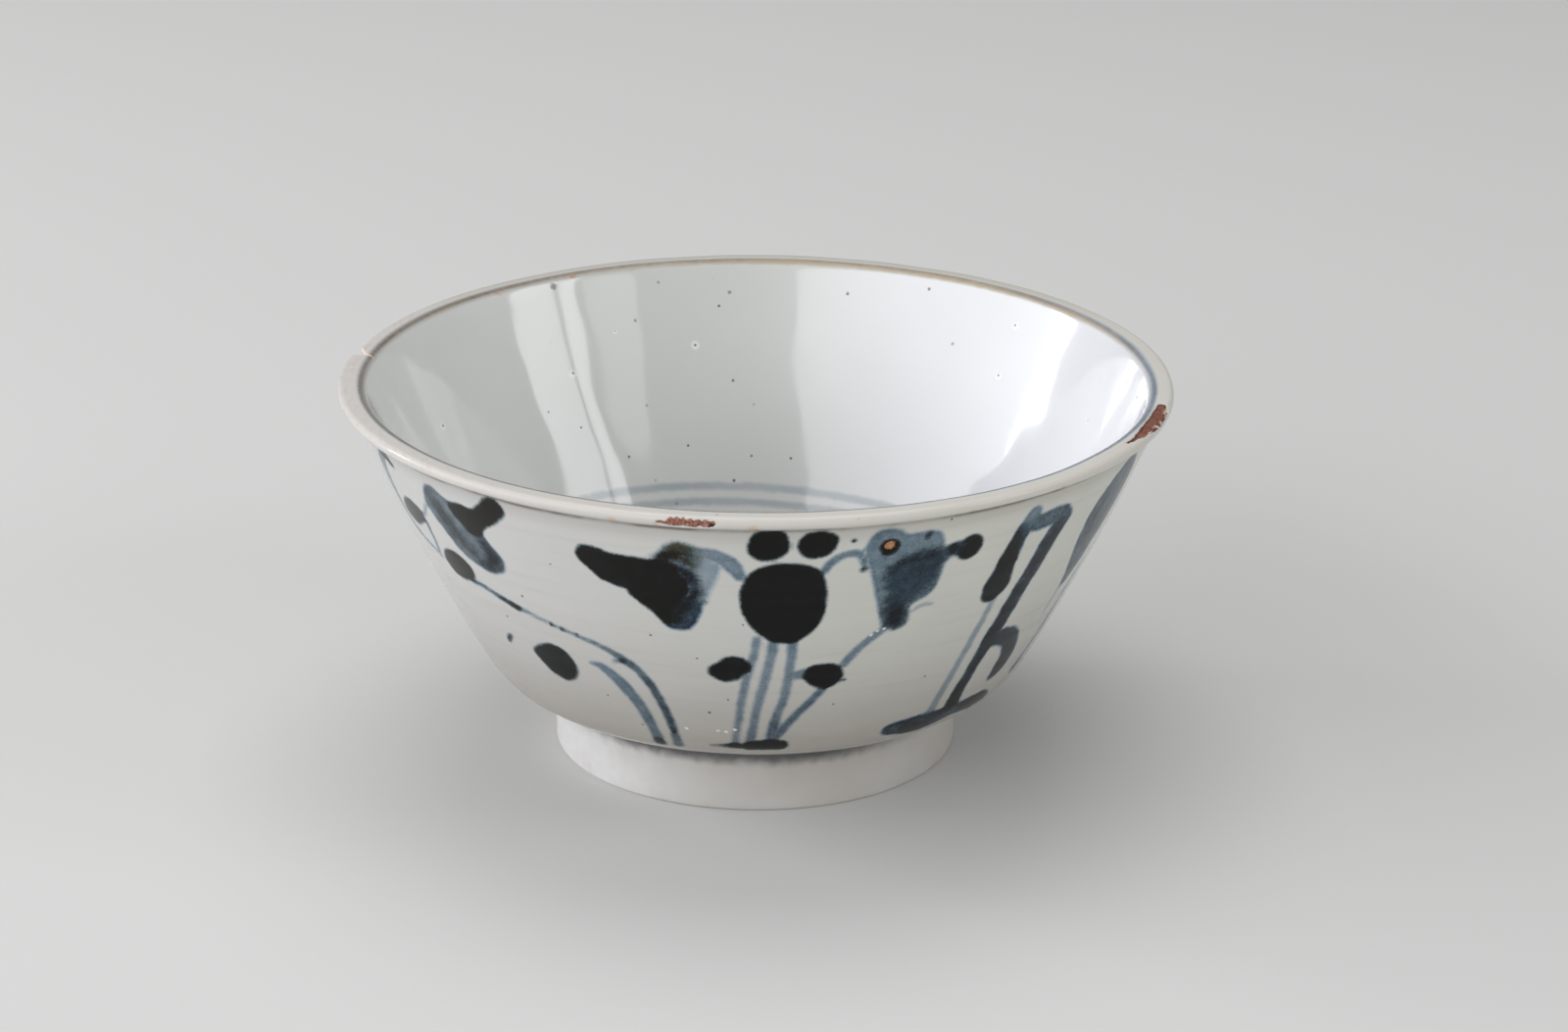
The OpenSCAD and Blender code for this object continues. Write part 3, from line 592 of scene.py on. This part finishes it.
def bowl_surface():
    """The section carried round the axis: (r cos a, r sin a, z) for each row and column, each
    point moved along the section's normal by the sum of the uneven shares."""
    angle = columns()
    n, m = len(line) - 2, len(angle)
    along = np.gradient(line, axis=0)
    normal = np.stack([along[:, 1], -along[:, 0]], 1)
    normal /= np.linalg.norm(normal, axis=1, keepdims=True)
    rows = np.repeat(np.arange(1, n + 1), m)
    a = np.radians(np.tile(angle, n))
    flat = np.stack([np.cos(a), np.sin(a), 0 * a], 1)
    up = np.array([0.0, 0.0, 1.0])
    r, z, reach = line[rows, 0], line[rows, 1], run_mm[rows]
    base = r[:, None] * flat + z[:, None] * up
    at = np.stack([np.degrees(a), reach, r], 1)
    lip = eased(1 - np.abs(reach) / 6)
    foot = eased((foot_top_mm + 1 - reach) / 3) * (z > 0.6)
    wall = eased((reach_at(60) - reach) / 8) * eased((reach - foot_top_mm - 1) / 3)
    deep = eased((reach - 5) / 8) * (z > 24)
    # height of an unevenness, the size and seed of its ripple, its stretch, and where it lies
    uneven = [
        (0.1, 22, 3, [1, 1, 1], 1),
        (0.04, 5, 4, [1, 1, 1], 1 - lip),
        (0.05, 4, 5, [1, 1, 1], lip),
        (0.07, 3.0, 6, [1, 1, 1], foot),
        (0.032, 3.2, 8, [1, 1, 0.45], deep),
        (0.009, 1.4, 10, [1, 1, 1], deep),
        (0.03, 0.95, 9, [0.09, 0.09, 1], wall),
    ]
    push = sum(h * ripple(base * pull, size, seed) * share for h, size, seed, pull, share in uneven)
    push -= sunk(at, base * MM, WORN, WORN_DEPTH, 11)
    push -= sunk(at, base * MM, FLAKED, FLAKED_DEPTH, 21)
    moved = base + push[:, None] * (normal[rows, :1] * flat + normal[rows, 1:] * up)
    # beside the notch the lip stands out past it, on the side of the larger angles, and draws in
    # on the other
    past = (np.degrees(a) - 170.5 + 90) % 360 - 90
    bulge = 0.55 * eased(past / 1.5) * np.exp(-(((past - 14) / 24) ** 2))
    bulge -= 0.35 * eased(-past / 1.5) * np.exp(-((past / 40) ** 2))
    spread = bulge * lip * eased(1 - reach / 3.5)
    lift = 0.1 * (ripple(base, 30, 7) - 1) * lip
    moved += spread[:, None] * flat + lift[:, None] * up
    moved[:, 2] = np.maximum(moved[:, 2], 0)
    co = np.concatenate([[[0, 0, line[0, 1]]], moved, [[0, 0, line[-1, 1]]]]) * MM
    j = np.arange(m)
    k = (j + 1) % m
    first = 1 + np.arange(n - 1)[:, None] * m
    quads = np.stack([first + j, first + k, first + m + k, first + m + j], -1).reshape(-1, 4)
    last = 1 + (n - 1) * m
    under = np.stack([0 * j, 1 + k, 1 + j], 1)
    over = np.stack([last + j, last + k, 0 * j + last + m], 1)
    return co, quads, np.concatenate([under, over])


def mesh_from(name, co, quads, tris):
    """A mesh from vertices, quads and triangles, each list given whole."""
    me = bpy.data.meshes.new(name)
    sizes = np.concatenate([np.full(len(quads), 4), np.full(len(tris), 3)])
    corners = np.concatenate([quads.ravel(), tris.ravel()]).astype(np.int32)
    me.vertices.add(len(co))
    me.vertices.foreach_set("co", co.astype(np.float32).ravel())
    me.loops.add(len(corners))
    me.loops.foreach_set("vertex_index", corners)
    me.polygons.add(len(sizes))
    me.polygons.foreach_set("loop_start", (np.cumsum(sizes) - sizes).astype(np.int32))
    me.update(calc_edges=True)
    me.validate()
    return me


def notch_block():
    """The wedge that broke out of the lip, as a block bent to the shape of the break: u runs
    from its point out past the edge, v across it and w up, and ripples roughen every face. Its
    mouth flares on both sides, more on the far one."""
    notch_at, notch_w, notch_in, skew, deep, slope = 170, 5, 4.9, 4, 0.9, 33
    near_flare, far_flare = 0.8, 1.5
    overrun, tall, blunt = 1.7, 5.5, 0.12
    n = 26
    g = np.linspace(0, 1, n + 1)
    u, v = (q.ravel() for q in np.meshgrid(g, g, indexing="ij"))
    one, nil = np.ones_like(u), np.zeros_like(u)
    faces = [(nil, v, u), (one, u, v), (u, nil, v), (v, one, u), (v, u, nil), (u, v, one)]
    out = []
    for a, b, c in faces:
        x = overrun * notch_in / cos(radians(slope)) * a
        across = -skew * overrun * a + (b - 0.5) * (notch_w * overrun * a + blunt)
        across += near_flare * b * eased((a - 0.15) / 0.2)
        across -= far_flare * (1 - b) * eased((a - 0.12) / 0.26)
        out.append(np.stack([x, across, tall * c], 1))
    p = np.concatenate(out)
    sideways, upward = np.array([0, 1, 0]), np.array([0, 0, 1])
    rough = 0.10 * ripple(p, 0.6, 31)[:, None] * sideways
    rough = rough + 0.13 * ripple(p, 0.8, 32)[:, None] * upward
    rough += 0.05 * ripple(p, 0.22, 33)[:, None] * (sideways + upward)
    p = p + rough
    corner = np.arange(n)[:, None] * (n + 1) + np.arange(n)
    quad = np.stack([corner, corner + n + 1, corner + n + 2, corner + 1], -1).reshape(-1, 4)
    quads = np.concatenate([quad + i * (n + 1) ** 2 for i in range(6)])
    turn = Matrix.Rotation(radians(notch_at), 4, "Z")
    move = Matrix.Translation(Vector((rim_r - notch_in, skew, bowl_h - deep)))
    tip = Matrix.Rotation(radians(slope), 4, "Y")
    me = mesh_from("wedge", p, quads, np.zeros((0, 3), int))
    me.transform(Matrix.Scale(MM, 4) @ turn @ move @ tip)
    return me


def tidy_shell(me, gap):
    """The mesh with its meeting edges joined and its faces turned outward."""
    bm = bmesh.new()
    bm.from_mesh(me)
    bmesh.ops.remove_doubles(bm, verts=bm.verts, dist=gap)
    bmesh.ops.recalc_face_normals(bm, faces=bm.faces)
    bm.to_mesh(me)
    bm.free()
    return me


def broken_out(me, wedge):
    """The mesh less the wedge, and which of its faces are fresh ones left by the break. The
    wedge's faces carry the second of two materials, which tells them apart after the cut."""
    for name in ("skin", "fresh"):
        tag = bpy.data.materials.new(name)
        me.materials.append(tag)
        wedge.materials.append(tag)
    wedge.polygons.foreach_set("material_index", np.ones(len(wedge.polygons), np.int32))
    whole = bpy.data.objects.new("whole", me)
    tool = bpy.data.objects.new("wedge", wedge)
    for o in (whole, tool):
        bpy.context.scene.collection.objects.link(o)
    cut = whole.modifiers.new("break", "BOOLEAN")
    cut.operation = "DIFFERENCE"
    cut.solver = "EXACT"
    cut.object = tool
    bpy.context.view_layer.update()
    final = whole.evaluated_get(bpy.context.evaluated_depsgraph_get())
    made = bpy.data.meshes.new_from_object(final)
    fresh = np.zeros(len(made.polygons), np.int32)
    made.polygons.foreach_get("material_index", fresh)
    for o in (whole, tool):
        bpy.data.objects.remove(o)
    made.materials.clear()
    made.polygons.foreach_set("material_index", np.zeros(len(fresh), np.int32))
    return made, fresh > 0


def keep_on(me, name, values, kind="FLOAT_VECTOR", domain="POINT"):
    """Values written on the mesh as a named attribute."""
    data = me.attributes.new(name, kind, domain).data
    field = "vector" if kind == "FLOAT_VECTOR" else "value"
    data.foreach_set(field, np.ascontiguousarray(values, np.float32).ravel())


co, quads, tris = bowl_surface()
bowl_mesh = mesh_from("bowl_glazed", co, quads, tris)
bowl_mesh, fresh = broken_out(bowl_mesh, tidy_shell(notch_block(), 2e-6))
co = np.zeros(len(bowl_mesh.vertices) * 3, np.float32)
bowl_mesh.vertices.foreach_get("co", co)
co = co.reshape(-1, 3).astype(float)
at = places(co)
keep_on(bowl_mesh, "reach", at[:, 1], "FLOAT")
outside = (at[:, 1] < -1) & (at[:, 1] > foot_top_mm - 1)
for name, marks in (("wash", WASHES), ("ink", INKS)):
    values = np.tile([FAR, 0.0, 0.0], (len(co), 1))
    values[outside] = painted(at[outside], marks)
    keep_on(bowl_mesh, name, values)
flaws = np.full((len(co), 3), FAR)
for column, outline in enumerate((WORN, FLAKED)):
    chosen, inside = patch(at, outline)
    flaws[chosen, column] = inside
keep_on(bowl_mesh, "flaws", flaws)
keep_on(bowl_mesh, "fresh", fresh, "FLOAT", "FACE")
bowl_mesh.shade_smooth()
bowl_mesh.set_sharp_from_angle(angle=radians(38))
bowl = bpy.data.objects.new("bowl_glazed", bowl_mesh)
bpy.context.scene.collection.objects.link(bowl)


# ---------------------------------------------------------------- materials


def shade(r, g, b):
    """A colour as it looks, 0 to 255, in the linear values that the shader takes."""
    c = np.array([r, g, b]) / 255
    return (*np.where(c > 0.04045, ((c + 0.055) / 1.055) ** 2.4, c / 12.92), 1.0)


def over(r, g, b):
    """The filter that turns plain glaze into the colour r, g, b: the one divided by the other."""
    thin, plain = shade(r, g, b), shade(196, 196, 190)
    return (*(min(t / p, 1.0) for t, p in zip(thin[:3], plain[:3])), 1.0)


class Value:
    """A shader socket that works in sums and products, each of which adds its Math node."""

    def __init__(self, sheet, socket):
        self.sheet = sheet
        self.socket = socket

    def math(self, operation, *others, clamp=False):
        inputs = dict(enumerate((self, *others)))
        return self.sheet.node("Math", {"operation": operation, "use_clamp": clamp}, inputs)

    def __add__(self, other):
        return self.math("ADD", other)

    __radd__ = __add__

    def __sub__(self, other):
        return self.math("SUBTRACT", other)

    def __rsub__(self, other):
        return (self * -1) + other

    def __mul__(self, other):
        return self.math("MULTIPLY", other)

    __rmul__ = __mul__

    def __abs__(self):
        return self.math("ABSOLUTE")

    def least(self, other):
        return self.math("MINIMUM", other)

    def most(self, other):
        return self.math("MAXIMUM", other)

    def held(self):
        """The value, kept from 0 to 1."""
        return self.math("ADD", 0, clamp=True)

    def rise(self, start, end):
        """0 up to start, 1 from end, and smooth between."""
        settings = {"interpolation_type": "SMOOTHSTEP"}
        return self.sheet.node("MapRange", settings, {0: self, 1: start, 2: end, 3: 0, 4: 1})


class Sheet:
    """One material and its nodes."""

    def __init__(self, name):
        self.material = bpy.data.materials.new(name)
        self.material.use_nodes = True
        self.tree = self.material.node_tree
        self.tree.nodes.clear()

    def node(self, kind, settings=None, inputs=None, out=0):
        """Adds a node: its settings first, then its sockets. Returns one output, or all."""
        made = self.tree.nodes.new("ShaderNode" + kind)
        for key, value in (settings or {}).items():
            if key == "stops":
                ramp = made.color_ramp
                for place, colour in value[1:-1]:
                    ramp.elements.new(place)
                for element, (place, colour) in zip(ramp.elements, value):
                    element.position = place
                    element.color = colour
            else:
                setattr(made, key, value)
        for key, value in (inputs or {}).items():
            if isinstance(value, Value):
                self.tree.links.new(value.socket, made.inputs[key])
            else:
                made.inputs[key].default_value = value
        if out is None:
            return [Value(self, s) for s in made.outputs]
        return Value(self, made.outputs[out])

    def mix(self, share, first, second, way="MIX"):
        """Two colours mixed: the first where share is 0, the second where it is 1."""
        settings = {"data_type": "RGBA", "blend_type": way}
        return self.node("Mix", settings, {0: share, 6: first, 7: second}, 2)

    def laid(self, colour, *layers):
        """The colour with each layer's tone laid over it in turn, by that layer's share."""
        for share, tone in layers:
            colour = self.mix(share, colour, shade(*tone))
        return colour

    def noise(self, at, size, detail=3.0):
        """Noise from 0 to 1 whose lumps are about size millimetres across."""
        inputs = {"Vector": at, "Scale": 1000 / size, "Detail": detail}
        return self.node("TexNoise", {"noise_dimensions": "3D"}, inputs)

    def attribute(self, name, out):
        return self.node("Attribute", {"attribute_name": name}, None, out)

    def split(self, vector):
        return self.node("SeparateXYZ", None, {0: vector}, None)

    def stretched(self, at, x, y, z):
        """The place with each direction multiplied, which squeezes or draws out a pattern."""
        return self.node("VectorMath", {"operation": "MULTIPLY"}, {0: at, 1: (x, y, z)})


def on_bowl(angle, height, inside):
    """A point on the wall in metres, from its angle and height."""
    part = line[edge_top:][::-1] if inside else line[foot_top_row : edge_top + 1]
    r = np.interp(height, part[:, 1], part[:, 0])
    a = radians(angle)
    return (r * cos(a) * MM, r * sin(a) * MM, height * MM)


def closest(s, place, dots):
    """Distance to the nearest of the dots, each measured in its own size. A dot is an angle, a
    height, a size in millimetres, and whether it is inside."""
    best = None
    for angle, height, size, within in dots:
        ends = {0: place, 1: on_bowl(angle, height, within)}
        away = s.node("VectorMath", {"operation": "DISTANCE"}, ends, 1) * (1000 / size)
        best = away if best is None else best.least(away)
    return best


def glazed_pottery():
    """Pale glaze with brushwork under it, a bare clay foot, and broken places. Every share and
    threshold is in millimetres or a part of 1, and a rise from high to low falls instead."""
    s = Sheet("glazed_pottery")
    place = s.node("TexCoord", None, None, None)[3]
    x, y, z = (metres * 1000 for metres in s.split(place))
    reach = s.attribute("reach", 2)
    fresh = s.attribute("fresh", 2)
    grain = s.noise(place, 0.28, 2.0)
    fine = s.noise(place, 0.5, 4.0)
    middle = s.noise(place, 2.2, 3.0)
    broad = s.noise(place, 14, 2.0)
    wide = s.noise(place, 45, 2.0)
    inside = reach.rise(3.2, 4.6)
    outside = 1 - inside

    # the glaze: warm grey-white, greener to the right, streaked low on the belly
    side = x.rise(-60, 60)
    rings = s.noise(s.stretched(place, 0.05, 0.05, 1.0), 1.6, 3.0)
    streak = s.noise(s.stretched(place, 0.25, 0.25, 1.0), 3.0, 3.0)
    low_belly = z.rise(34, 17) * reach.rise(foot_top_mm - 1, foot_top_mm) * outside
    glaze = s.laid(
        s.mix(side, shade(193, 192, 192), shade(203, 203, 195)),
        (((broad - 0.5) * 1.4 + 0.5).held() * 0.35, (186, 184, 178)),
        ((rings - 0.5).rise(0.0, 0.3) * broad * 0.6 * outside, (176, 173, 166)),
        # painted shade: the outside darkens towards the foot
        (z.rise(52, 17) * outside * 0.65, (164, 161, 156)),
        (low_belly * (0.25 + 0.5 * streak), (158, 152, 142)),
    )

    # inside: greenish grey, with two rings of thin blue-grey paint near the floor
    # painted shade: shaded darkens the back left of the inside
    shaded = y.rise(15, 60) * x.rise(35, -5) * x.rise(-54, -32)
    fall = z + x * 0.045 + (middle - 0.5) * 0.7
    two_rings = abs(fall - 28.9).rise(1.15, 0.2).most(abs(fall - 26.2).rise(1.1, 0.2))
    tint = s.laid(
        # painted reflection: the inside runs lighter and bluer to the right
        s.mix(side, shade(209, 210, 206), shade(213, 214, 219)),
        (shaded * 0.6, (188, 189, 184)),
        (((wide - 0.5) * 2 + 0.5).held() * 0.3, (180, 181, 174)),
        (two_rings * (0.3 + 0.35 * broad), (112, 126, 140)),
    )
    glaze = s.mix(inside, glaze, tint)

    # the lip's inner turn: a soft band, a dark line under it, ochre and orange at the back
    blue_side = x.rise(0, 55) * y.rise(70, 30)
    patchy = s.noise(place, 12, 2.0)
    flecks = s.noise(place, 1.3, 3.0)
    on_turn = reach.rise(1.5, 2.5) * reach.rise(4.3, 3.0)
    # the band is blue paint at the right, and painted shade, grey-olive, at the left
    blue_paint_and_shade = s.mix(blue_side, shade(130, 125, 113), shade(126, 137, 152))
    glaze = s.mix(on_turn * (0.35 + 0.4 * patchy + 0.3 * flecks), glaze, blue_paint_and_shade)
    lower_turn = reach - 2.95 + y.rise(20, -25) * 0.5 + (broad - 0.5) * 0.3
    turn_line = abs(lower_turn).rise(0.6, 0.2) * (0.35 + 0.6 * flecks)
    dark_line = s.mix(blue_side, shade(88, 82, 74), shade(72, 84, 104))
    glaze = s.mix(turn_line * (0.6 + 0.4 * patchy), glaze, dark_line)
    ochre = abs(reach - 3.3 + (middle - 0.5) * 0.8).rise(1.0, 0.1) * y.rise(-5, 45)
    orange = s.noise(place, 3.5, 3.0).rise(0.6, 0.72) * ochre * x.rise(-10, -35)
    glaze = s.laid(
        glaze,
        (ochre * (broad + 0.2) * (0.2 + 0.6 * x.rise(-35, 5)), (166, 144, 114)),
        (orange * 0.7, (178, 116, 78)),
    )

    # the lip's top and edge: tan wear, and below it a shadow, a broken brown line and stains
    top = reach.rise(-2.4, -1.2) * reach.rise(1.9, 1.1)
    top_tint = s.mix(broad, shade(190, 183, 176), shade(200, 197, 190))
    top_tint = s.laid(top_tint, (y.rise(20, 62) * 0.8, (168, 162, 150)))
    glaze = s.mix(top * 0.7, glaze, top_tint)
    tan = s.noise(s.stretched(place, 1.0, 0.4, 1.0), 1.1, 4.0).rise(0.45, 0.75)
    shadow = reach.rise(-9, -4.6) * reach.rise(-2.2, -3.4)
    broken = 0.3 + 0.7 * s.noise(place, 7, 2.0).rise(0.35, 0.6)
    stains = (closest(s, place, STAINS) + (fine - 0.5) * 0.6).rise(1.0, 0.25)
    glaze = s.laid(
        glaze,
        (tan * top * x.rise(-25, -68) * 0.3, (174, 154, 146)),
        (shadow * 0.3, (140, 136, 128)),
        (abs(reach + 4.2).rise(0.9, 0.1) * broken * 0.75, (84, 62, 50)),
        (stains * 0.55, (200, 152, 108)),
    )

    # brushwork: two coats, each thick where its marks carry a full load; ink has a warm edge
    bleed = (fine - 0.5) * 0.3 + (middle - 0.5) * 0.45
    uneven = (middle - 0.5) * 0.5 + (fine - 0.5) * 0.38 + (grain - 0.5) * 0.3
    cover = []
    warmth = []
    for name, soft, pool in (("wash", 0.55, 0.07), ("ink", 0.6, 0.0)):
        depth, load, warm = s.split(s.attribute(name, 1))
        inked = (depth + bleed).rise(-soft, soft)
        rim = (depth + bleed).rise(1.3, 0.2) * pool
        cover.append((inked * load * (1 + rim + uneven)).held())
        warmth.append(warm * inked)
    warmth[1] = warmth[1].most(inked * (1 - inked) * 2.6 * load)
    density = 1 - (1 - cover[0]) * (1 - cover[1])
    blue = s.node("ValToRGB", {"stops": [
        (0.0, over(196, 196, 190)), (0.15, over(168, 175, 177)), (0.32, over(134, 147, 155)),
        (0.5, over(94, 112, 124)), (0.66, over(44, 64, 80)), (0.8, over(12, 24, 33)),
        (0.95, over(5, 5, 5)),
    ]}, {0: density})
    olive = s.node("ValToRGB", {"stops": [
        (0.0, over(196, 196, 190)), (0.2, over(148, 149, 138)), (0.4, over(102, 106, 94)),
        (0.6, over(58, 59, 46)), (0.78, over(26, 21, 13)), (0.95, over(7, 4, 2)),
    ]}, {0: density})
    paint = s.mix((warmth[0].most(warmth[1]) * (0.5 + middle)).held(), blue, olive)
    colour = s.mix(1.0, glaze, paint, "MULTIPLY")

    # small things in the glaze: specks, pinholes with painted highlights, painted blister glints, dust,
    # iron spot
    speck = (closest(s, place, SPECKS) + (fine - 0.5) * 0.9).rise(0.95, 0.45)
    pinhole = closest(s, place, PINHOLES)
    blister_glint = (closest(s, place, BLISTER_GLINTS) + (fine - 0.5) * 0.6).rise(0.45, 0.15)
    grit = s.node("TexVoronoi", {"feature": "F1"}, {"Vector": place, "Scale": 170.0})
    dusty = s.noise(place, 9, 1.0).rise(0.55, 0.62)
    dust = (grit + (fine - 0.5) * 0.08).rise(0.085, 0.04) * dusty
    colour = s.laid(
        colour,
        (speck * 0.8, (74, 56, 44)),
        # painted highlight: a pale ring round each pinhole
        (pinhole.rise(1.3, 0.6) * 0.45, (232, 233, 230)),
        (pinhole.rise(0.42, 0.2) * 0.75, (80, 72, 64)),
        # painted glints on the blisters
        (blister_glint * 0.8, (226, 226, 220)),
        (dust * 0.6, (88, 76, 62)),
    )
    iron = (closest(s, place, [IRON]) + (fine - 0.5) * 0.7).rise(1.1, 0.6)
    rust = s.mix(grain.rise(0.5, 0.65), shade(160, 106, 68), shade(206, 170, 132))
    colour = s.mix(iron, colour, rust)

    # the foot: bare pinkish-white clay, a smear of grey-blue and painted shadow under a brown line
    turned = reach.rise(foot_top_mm + 0.25, foot_top_mm - 0.25)
    in_front = abs(x + 4).rise(34, 16) * y.rise(0, -10)
    # grey-blue paint smear, deepened as painted shadow under the belly
    smear_and_shadow = (z + middle * 1.4 + broad).rise(9.4, 12.0) * (0.25 + 0.75 * in_front)
    # painted light: the clay is lighter on the left
    clay = s.laid(
        s.mix(x.rise(-5, -30), shade(187, 185, 181), shade(207, 206, 207)),
        (middle * 0.5, (178, 174, 170)),
        ((broad - 0.4).rise(0, 0.3) * 0.25, (166, 155, 144)),
        (smear_and_shadow * 0.92, (80, 82, 83)),
    )
    seam = abs(reach - foot_top_mm).rise(0.7, 0.3) * (0.6 + 0.4 * middle)
    colour = s.laid(s.mix(turned, colour, clay), (seam * 0.85, (66, 54, 46)))

    # broken places: the worn patch with crumbs of glaze, the flake with its pit, and the notch
    worn, flaked = s.split(s.attribute("flaws", 1))[:2]
    ragged = (fine - 0.5) * 0.35 + (middle - 0.5) * 0.3
    worn_edge = (worn + ragged).rise(-0.12, 0.1)
    worn_in = (worn + ragged).rise(0.1, 0.45)
    body = s.mix(fine.rise(0.35, 0.65), shade(100, 62, 51), shade(128, 84, 70))
    crumbs = s.noise(place, 0.8, 3.0).rise(0.52, 0.6) * (reach + (broad - 0.5) * 2).rise(0.2, -0.7)
    worn_tint = s.mix(worn_in, shade(84, 52, 42), body)
    worn_tint = s.laid(worn_tint, (crumbs * 0.85, (206, 192, 178)))
    flake_edge = (flaked + ragged).rise(-0.1, 0.1)
    flake_tint = s.laid(
        s.mix(fine.rise(0.35, 0.65), shade(104, 62, 52), shade(152, 104, 90)),
        (grain.rise(0.54, 0.66) * 0.6, (196, 166, 154)),
        (closest(s, place, [FLAKE_PIT]).rise(0.8, 0.35), (58, 30, 26)),
    )
    deep_in = (x * -1).rise(73.4, 70.5) * 0.8 + fine * 0.3
    cream = s.mix(deep_in, shade(226, 222, 216), shade(214, 186, 168))
    colour = s.mix(worn_edge, colour, worn_tint)
    colour = s.mix(flake_edge, colour, flake_tint)
    colour = s.mix(fresh, colour, cream)

    # gloss: smooth glaze and rough clay; the inside has a clearer coat than the outside
    bare = turned.most(worn_edge).most(flake_edge).most(fresh)
    rough = s.node("Mix", {"data_type": "FLOAT"}, {0: bare, 2: 0.13, 3: 0.85})
    rough = rough + (broad - 0.5) * 0.06 * (1 - bare)
    waves = s.noise(s.stretched(place, 0.4, 0.4, 1.0), 6, 2.0)
    height = waves * 0.05 + middle * 0.006 + fine * 0.02 * bare + density * 0.008
    height = height - speck * 0.05 - pinhole.rise(1.2, 0.2) * 0.09 + blister_glint * 0.04
    bump = s.node("Bump", None, {"Height": height * MM, "Strength": 1.0, "Distance": 1.0})
    made = s.node("BsdfPrincipled", None, {
        "Base Color": colour, "Roughness": rough, "IOR": 1.29, "Normal": bump,
        "Coat Weight": inside * 0.8, "Coat Roughness": 0.06, "Coat IOR": 1.5,
    })
    s.node("OutputMaterial", None, {"Surface": made}, None)
    return s.material


bowl_mesh.materials.append(glazed_pottery())
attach(bowl, "root")
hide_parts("bowl")


# ---------------------------------------------------------------- floor, lights and camera


FLOOR_R = 4.0
BOWL_MIDDLE = 0.05

# Each lamp: its name, its turn round the bowl and rise above it, how far off it is, its width and
# height in metres, its watts, colour and shape.
LAMPS = [
    ("left_sheet", -152.5, 26, 1.3, 2.42, 0.85, 19.5, (0.97, 0.98, 1.0), "RECTANGLE"),
    ("left_window", 160.3, 17.4, 1.3, 0.19, 0.35, 2.55, (1.0, 1.0, 1.0), "RECTANGLE"),
    ("right_window", -12, 29, 1.3, 0.36, 0.46, 2.2, (0.96, 0.97, 1.0), "RECTANGLE"),
    ("right_pane", -25.5, 29, 1.3, 0.12, 0.46, 0.9, (0.96, 0.97, 1.0), "RECTANGLE"),
    ("right_haze", -40, 26.5, 1.3, 0.36, 0.26, 0.42, (0.97, 0.98, 1.0), "ELLIPSE"),
    ("front_fill", -70, 10, 1.4, 1.3, 0.4, 3.0, (1.0, 0.99, 0.97), "RECTANGLE"),
    ("overhead", 90, 75, 1.6, 1.2, 1.2, 11, (1.0, 1.0, 1.0), "RECTANGLE"),
]


def floor_disc():
    """A wide round floor at height 0: one ring of points and a middle."""
    a = np.radians(np.arange(0, 360, 5))
    ring = np.stack([FLOOR_R * np.cos(a), FLOOR_R * np.sin(a), 0 * a], 1)
    j = np.arange(len(a))
    tris = np.stack([j, (j + 1) % len(a), 0 * j + len(a)], 1)
    me = mesh_from("floor", np.concatenate([ring, [[0, 0, 0]]]), np.zeros((0, 4), int), tris)
    floor = bpy.data.objects.new("floor", me)
    bpy.context.scene.collection.objects.link(floor)
    s = Sheet("pale_floor")
    made = s.node("BsdfPrincipled", None, {"Base Color": shade(198, 198, 196), "Roughness": 0.75})
    s.node("OutputMaterial", None, {"Surface": made}, None)
    me.materials.append(s.material)


def soft_light(name, turn, rise, distance, width, height, watts, colour, shape):
    """A flat lamp that faces the bowl's middle, at a distance from it along turn and rise."""
    data = bpy.data.lights.new(name, "AREA")
    data.shape = shape
    data.size = width
    data.size_y = height
    data.energy = watts
    data.color = colour
    lamp = bpy.data.objects.new(name, data)
    bpy.context.scene.collection.objects.link(lamp)
    flat = distance * cos(radians(rise))
    away = Vector((flat * cos(radians(turn)), flat * sin(radians(turn)), distance * sin(radians(rise))))
    lamp.location = away + Vector((0, 0, BOWL_MIDDLE))
    lamp.visible_camera = False
    lamp.rotation_euler = (-away).to_track_quat("-Z", "Y").to_euler()


floor_disc()
for lamp in LAMPS:
    soft_light(*lamp)

world = bpy.data.worlds.new("studio")
world.use_nodes = True
bpy.context.scene.world = world
sky = world.node_tree.nodes["Background"].inputs
sky["Color"].default_value = (0.86, 0.87, 0.88, 1)
sky["Strength"].default_value = 0.36

camera_data = bpy.data.cameras.new("camera")
camera_data.lens = 90
camera_data.sensor_width = 36
camera_data.clip_start = 0.01
camera = bpy.data.objects.new("camera", camera_data)
bpy.context.scene.collection.objects.link(camera)
camera_at = (0.00499, -0.6717, 0.2947)
looks_down, leans = 20.6, 0.52
tilt = Matrix.Rotation(radians(90 - looks_down), 4, "X")
roll = Matrix.Rotation(radians(leans), 4, "Z")
camera.matrix_world = Matrix.Translation(camera_at) @ tilt @ roll
bpy.context.scene.camera = camera
bpy.context.scene.view_settings.view_transform = "Standard"
